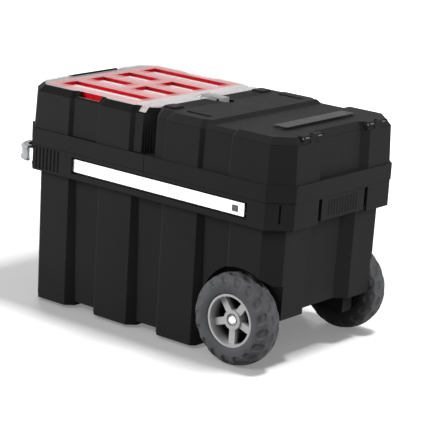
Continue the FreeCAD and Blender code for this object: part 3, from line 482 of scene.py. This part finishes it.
# Smooth shading that keeps edges sharper than a given angle
def smooth_group(angle):
    group = bpy.data.node_groups.new("smooth_faces", "GeometryNodeTree")
    group.interface.new_socket("Geometry", in_out="INPUT", socket_type="NodeSocketGeometry")
    group.interface.new_socket("Geometry", in_out="OUTPUT", socket_type="NodeSocketGeometry")
    start = group.nodes.new("NodeGroupInput")
    end = group.nodes.new("NodeGroupOutput")
    faces = group.nodes.new("GeometryNodeSetShadeSmooth")
    faces.domain = "FACE"
    edges = group.nodes.new("GeometryNodeSetShadeSmooth")
    edges.domain = "EDGE"
    edges.inputs["Shade Smooth"].default_value = False
    measure = group.nodes.new("GeometryNodeInputMeshEdgeAngle")
    compare = group.nodes.new("FunctionNodeCompare")
    compare.operation = "GREATER_THAN"
    compare.inputs[1].default_value = angle
    group.links.new(start.outputs[0], faces.inputs["Geometry"])
    group.links.new(faces.outputs["Geometry"], edges.inputs["Geometry"])
    group.links.new(measure.outputs["Unsigned Angle"], compare.inputs[0])
    group.links.new(compare.outputs["Result"], edges.inputs["Selection"])
    group.links.new(edges.outputs["Geometry"], end.inputs[0])
    return group


SMOOTH = smooth_group(SMOOTH_ANGLE)


# Smooth shading with even highlights
def shade(piece):
    smooth = piece.modifiers.new("smooth", "NODES")
    smooth.node_group = SMOOTH
    weighted = piece.modifiers.new("weighted", "WEIGHTED_NORMAL")
    weighted.keep_sharp = True


# Rounded edges on a CAD piece, by modifiers alone
def soften(piece, width):
    weld = piece.modifiers.new("weld", "WELD")
    weld.merge_threshold = WELD_GAP
    flat = piece.modifiers.new("flat", "DECIMATE")
    flat.decimate_type = "DISSOLVE"
    flat.angle_limit = FLAT_ANGLE
    edge = piece.modifiers.new("edge", "BEVEL")
    edge.width = width
    edge.segments = EDGE_STEPS
    edge.limit_method = "ANGLE"
    edge.angle_limit = EDGE_ANGLE
    edge.use_clamp_overlap = False
    edge.loop_slide = False
    shade(piece)


for name, piece in nodes.items():
    for slot in piece.material_slots:
        slot.material = OWN_LOOKS.get(name, MATERIALS[slots[name]])
    if name in EDGE_WIDTHS:
        soften(piece, EDGE_WIDTHS[name])


# New object in the scene from a worked mesh
def loose_object(name, shape):
    made = bpy.data.meshes.new(name)
    shape.to_mesh(made)
    shape.free()
    piece = bpy.data.objects.new(name, made)
    scene.collection.objects.link(piece)
    return piece


# Look and body of a new piece
def fit(piece, look, body):
    piece.data.materials.append(look)
    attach(piece, body)


# Outline with rounded corners, drawn in by an inset
def rounded(half, corner, inset):
    points = []
    radius = max(corner - inset, corner / 4)
    reach = (half[0] - inset - radius, half[1] - inset - radius)
    for turn in range(4):
        middle = (reach[0] if turn in (0, 3) else -reach[0], reach[1] if turn in (0, 1) else -reach[1])
        for step in range(CORNER_STEPS + 1):
            angle = math.pi / 2 * (turn + step / CORNER_STEPS)
            points.append((middle[0] + radius * math.cos(angle), middle[1] + radius * math.sin(angle)))
    return points


# Low plate made of rounded outlines at several levels
def plate(name, half, corner, levels, put, look, body):
    shape = bmesh.new()
    rings = [[shape.verts.new(put(a, b, height)) for a, b in rounded(half, corner, inset)]
             for inset, height in levels]
    for low, high in zip(rings, rings[1:]):
        for i in range(len(low)):
            j = (i + 1) % len(low)
            shape.faces.new((low[i], low[j], high[j], high[i]))
    shape.faces.new(rings[0])
    shape.faces.new(rings[-1])
    bmesh.ops.recalc_face_normals(shape, faces=shape.faces)
    fit(loose_object(name, shape), look, body)


plate("label_panel", LABEL_HALF, LABEL_CORNER, LABEL_LEVELS,
      lambda a, b, h: (LABEL_MIDDLE[0] + a, LABEL_MIDDLE[1] + b, LABEL_MIDDLE[2] + h),
      LABEL_LOOK, "rear_lid")
for side, sign in SIDES.items():
    plate("seam_lug_" + side, LUG_HALF, LUG_CORNER, LUG_LEVELS,
          lambda a, b, h: (LUG_MIDDLE[0] + a, sign * (LUG_MIDDLE[1] + b), LUG_MIDDLE[2] + h),
          LUG_SHADE_LOOK, "rear_lid")
for side, sign in SIDES.items():
    plate("bar_stud_" + side, STUD_HALF, STUD_CORNER, STUD_LEVELS,
          lambda a, b, h: (STUD_MIDDLE[0] + a, sign * (STUD_MIDDLE[1] + h), STUD_MIDDLE[2] + b),
          STUD_LOOK, "handle")


# Closed mesh between two ends of an outline, drawn across the chest
def drawn_across(outline, start, end):
    shape = bmesh.new()
    ends = [[shape.verts.new((x, y, z)) for x, z in outline] for y in (start, end)]
    for side in ends:
        shape.faces.new(side)
    for i in range(len(outline)):
        j = (i + 1) % len(outline)
        shape.faces.new((ends[0][i], ends[0][j], ends[1][j], ends[1][i]))
    bmesh.ops.recalc_face_normals(shape, faces=shape.faces)
    return shape


# Point at an angle on a circle
def on_circle(middle, radius, angle):
    return middle[0] + radius * math.cos(angle), middle[1] + radius * math.sin(angle)


# Round cutter across the latch
def bore(middle, radius):
    outline = [on_circle(middle, radius, 2 * math.pi * i / BORE_STEPS) for i in range(BORE_STEPS)]
    return drawn_across(outline, -2 * LATCH_HALF, 2 * LATCH_HALF)


# Room for the padlock ear, as a cutter
def ear_room():
    (x0, y0, z0), (x1, y1, z1) = EAR_ROOM
    return drawn_across([(x0, z0), (x1, z0), (x1, z1), (x0, z1)], y0, y1)


# Cut shapes out of a piece and keep the plain mesh that is left
def cut_out(piece, cutters):
    tools = [loose_object("cutter", cutter) for cutter in cutters]
    for tool in tools:
        cut = piece.modifiers.new("cut", "BOOLEAN")
        cut.operation = "DIFFERENCE"
        cut.solver = "EXACT"
        cut.object = tool
    bpy.context.view_layer.update()
    seen = piece.evaluated_get(bpy.context.evaluated_depsgraph_get())
    left = bpy.data.meshes.new_from_object(seen)
    left.materials.clear()
    piece.modifiers.clear()
    piece.data = left
    for tool in tools:
        bpy.data.objects.remove(tool)


# Latch with rounded edges, room for the padlock ear, a padlock hole and a pin bore
def wide_latch():
    low = LATCH_PIN[1] - LATCH_HEEL
    outline = [(LATCH_FRONT, low), (LATCH_FRONT, LATCH_TOP), (LATCH_PIN[0] + LATCH_NECK, LATCH_TOP)]
    for i in range(LATCH_HEEL_STEPS + 1):
        outline.append(on_circle(LATCH_PIN, LATCH_HEEL, math.pi * (0.5 + i / LATCH_HEEL_STEPS)))
    block = drawn_across(outline, -LATCH_HALF, LATCH_HALF)
    sharp = [edge for edge in block.edges if edge.calc_face_angle() > LATCH_SHARP]
    bmesh.ops.bevel(block, geom=sharp, offset=LATCH_EDGE, segments=LATCH_EDGE_STEPS, profile=0.5,
                    affect="EDGES")
    piece = loose_object("wide_latch", block)
    cut_out(piece, [ear_room(), bore(EYE, EYE_RADIUS), bore(LATCH_PIN, PIN_RADIUS)])
    shade(piece)
    fit(piece, MATERIALS["latch_plastic"], "latch")
    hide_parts("latch")


wide_latch()


# Middle of a node's box
def middle_of(node):
    low, high = (Vector(corner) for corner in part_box(node))
    return (low + high) / 2


# Closed mesh of sections, as radius and offset across, set round a wheel's axle
def turned(middle, sections, smooth):
    shape = bmesh.new()
    rings = []
    for i, section in enumerate(sections):
        angle = 2 * math.pi * i / len(sections)
        rings.append([shape.verts.new((middle.x + radius * math.sin(angle), middle.y + across,
                                       middle.z + radius * math.cos(angle))) for radius, across in section])
    for i, first in enumerate(rings):
        second = rings[(i + 1) % len(rings)]
        for j in range(len(first)):
            k = (j + 1) % len(first)
            face = shape.faces.new((first[j], first[k], second[k], second[j]))
            face.smooth = smooth and k > 0
    bmesh.ops.recalc_face_normals(shape, faces=shape.faces)
    return shape


# Smooth curve through a row of points, in equal shares between them
def curve(points, steps):
    ends = [points[0]] + list(points) + [points[-1]]
    found = []
    for i in range(len(points) - 1):
        a, b, c, d = (Vector(p) for p in ends[i:i + 4])
        for step in range(steps):
            t = step / steps
            found.append(((2 * b) + (c - a) * t + (2 * a - 5 * b + 4 * c - d) * t ** 2
                          + (3 * b - a - 3 * c + d) * t ** 3) / 2)
    return found + [Vector(points[-1])]


# How deep the tread lies at an angle, in turns, and a place along the section
def tread_sink(turn, along):
    deepest = 0.0
    pitch = 2 * math.pi * TYRE_SECTION[-1][0] / TREAD_COUNT
    for middle, half_length, half_width, start, lean in TREAD_ROWS:
        apart = (along - middle) / half_length
        if abs(apart) > TREAD_NEAR:
            continue
        share = turn * TREAD_COUNT - start - lean * (along - middle) * MILLIMETRES
        beside = (share - round(share)) * pitch / half_width
        reach = (abs(apart) ** TREAD_SQUARE + abs(beside) ** TREAD_SQUARE) ** (1 / TREAD_SQUARE)
        wall = min(max((1 + TREAD_WALL / 2 - reach) / TREAD_WALL, 0), 1)
        deepest = max(deepest, TREAD_DEPTH * wall * wall * (3 - 2 * wall))
    return deepest


# Round-shouldered tyre with oval pockets in its tread
def tyre(name, body, node):
    half = curve(TYRE_SECTION, TYRE_STEPS)
    section = half + [Vector((p.x, -p.y)) for p in reversed(half[:-1])]
    along = [0.0]
    for first, second in zip(section, section[1:]):
        along.append(along[-1] + (second - first).length)
    along = [run - along[-1] / 2 for run in along]
    outward = []
    for i in range(len(section)):
        run = section[min(i + 1, len(section) - 1)] - section[max(i - 1, 0)]
        outward.append(Vector((-run.y, run.x)).normalized())
    turns = TREAD_COUNT * TREAD_STEPS
    sections = [[point - normal * tread_sink(i / turns, run)
                 for point, normal, run in zip(section, outward, along)] for i in range(turns)]
    piece = loose_object(name, turned(middle_of(node), sections, smooth=True))
    fit(piece, MATERIALS["tyre_rubber"], body)
    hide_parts(node)


# Flat dark dish between the hub and the ring of a wheel, a sheet of painted shade behind the spokes
def shade_dish(name, body, node):
    middle = middle_of(node)
    section = [(radius, math.copysign(across, middle.y) - middle.y) for radius, across in SHADE_DISH_SECTION]
    piece = loose_object(name, turned(middle, [section] * SHADE_DISH_STEPS, smooth=False))
    fit(piece, MATERIALS["black_plastic"], body)


for side in SIDES:
    tyre("round_tyre_" + side, "wheel_" + side, "tyre_" + side)
# Painted shade: a dark dish behind the spokes of each wheel
for side in SIDES:
    shade_dish("shade_dish_" + side, "wheel_" + side, "wheel_rim_" + side)


# Rays that look at the stage rather than light the chest
def looking(tree):
    path = tree.nodes.new("ShaderNodeLightPath")
    seen = path.outputs["Is Camera Ray"]
    for kind in ("Is Glossy Ray", "Is Transmission Ray"):
        seen = reckon(tree, "MAXIMUM", seen, path.outputs[kind])
    return seen


# Pale floor that keeps the shadow and throws little light back
def pale_floor():
    made = bpy.data.meshes.new("floor")
    made.from_pydata([(-FLOOR_REACH, -FLOOR_REACH, 0), (FLOOR_REACH, -FLOOR_REACH, 0),
                      (FLOOR_REACH, FLOOR_REACH, 0), (-FLOOR_REACH, FLOOR_REACH, 0)], [], [(0, 1, 2, 3)])
    floor = bpy.data.objects.new("floor", made)
    scene.collection.objects.link(floor)
    look, tree, shader = new_material("floor_look")
    out = shader.outputs["BSDF"].links[0].to_node
    shader.inputs["Base Color"].default_value = FLOOR_COLOUR
    shader.inputs["Roughness"].default_value = 0.9
    shader.inputs["Specular IOR Level"].default_value = 0.0
    shader.inputs["Emission Color"].default_value = WHITE
    ring = tree.nodes.new("ShaderNodeVectorMath")
    ring.operation = "LENGTH"
    tree.links.new(place(tree), ring.inputs[0])
    tree.links.new(spread(tree, ring.outputs["Value"], FLOOR_GLOW, 1.0, FLOOR_NEAR, FLOOR_FAR),
                   shader.inputs["Emission Strength"])
    dim = tree.nodes.new("ShaderNodeBsdfDiffuse")
    dim.inputs["Color"].default_value = FLOOR_BOUNCE
    mixed(tree, looking(tree), dim.outputs["BSDF"], shader.outputs["BSDF"], out)
    made.materials.append(look)
    return floor


# World: white where it is seen, a soft fill elsewhere
def white_world():
    world = bpy.data.worlds.new("studio")
    scene.world = world
    world.use_nodes = True
    tree = world.node_tree
    tree.nodes.clear()
    out = tree.nodes.new("ShaderNodeOutputWorld")
    skies = []
    for strength in (FILL_LIGHT, 1.0):
        sky = tree.nodes.new("ShaderNodeBackground")
        sky.inputs["Color"].default_value = WHITE
        sky.inputs["Strength"].default_value = strength
        skies.append(sky.outputs["Background"])
    mixed(tree, looking(tree), skies[0], skies[1], out)


# Soft box facing the middle of the chest
def soft_box(name, direction, size, power):
    lamp = bpy.data.lights.new(name, "AREA")
    lamp.size = size
    lamp.energy = power
    holder = bpy.data.objects.new(name, lamp)
    scene.collection.objects.link(holder)
    aim = Vector(direction).normalized()
    holder.location = Vector(CHEST_MIDDLE) + aim * LAMP_DISTANCE
    holder.rotation_euler = aim.to_track_quat("Z", "Y").to_euler()
    holder.visible_camera = False
    return holder


floor = pale_floor()
white_world()
floor_only = bpy.data.collections.new("floor_only")
floor_only.objects.link(floor)
chest_only = bpy.data.collections.new("chest_only")
chest_only.objects.link(floor)
chest_only.collection_objects[0].light_linking.link_state = "EXCLUDE"
for name, direction, size, power, lit in (
        ("soft_left", (-0.6, -0.75, 0.4), 1.3, 50.0, chest_only),
        ("soft_right", (0.93, 0.08, 0.48), 1.3, 36.0, chest_only),
        ("floor_back", (0.3, 0.07, 1.0), 0.4, 58.0, floor_only),
        ("floor_front", (0.1, -0.9, 0.6), 0.8, 12.0, floor_only),
        ("floor_left", (-0.8, 0.6, 0.6), 0.8, 18.0, floor_only)):
    soft_box(name, direction, size, power).light_linking.receiver_collection = lit


# Camera at the photograph's angle
def photo_camera():
    azimuth = math.radians(CAMERA_AZIMUTH)
    elevation = math.radians(CAMERA_ELEVATION)
    roll = math.radians(CAMERA_ROLL)
    back = Vector((math.sin(azimuth) * math.cos(elevation), -math.cos(azimuth) * math.cos(elevation),
                   math.sin(elevation)))
    right = Vector((math.cos(azimuth), math.sin(azimuth), 0))
    up = back.cross(right)
    across = right * math.cos(roll) + up * math.sin(roll)
    upward = up * math.cos(roll) - right * math.sin(roll)
    lens = bpy.data.cameras.new("photo_camera")
    holder = bpy.data.objects.new("photo_camera", lens)
    scene.collection.objects.link(holder)
    turn = Matrix((across, upward, back)).transposed().to_4x4()
    holder.matrix_world = Matrix.Translation(Vector(CAMERA_TARGET) + back * CAMERA_DISTANCE) @ turn
    lens.sensor_width = SENSOR
    lens.lens = CAMERA_FOCAL_PIXELS * SENSOR / PHOTO_SIZE
    lens.shift_x = (PHOTO_SIZE / 2 - CAMERA_CENTRE[0]) / PHOTO_SIZE
    lens.shift_y = (CAMERA_CENTRE[1] - PHOTO_SIZE / 2) / PHOTO_SIZE
    lens.clip_end = CAMERA_REACH
    scene.camera = holder


photo_camera()
scene.view_settings.view_transform = "Standard"
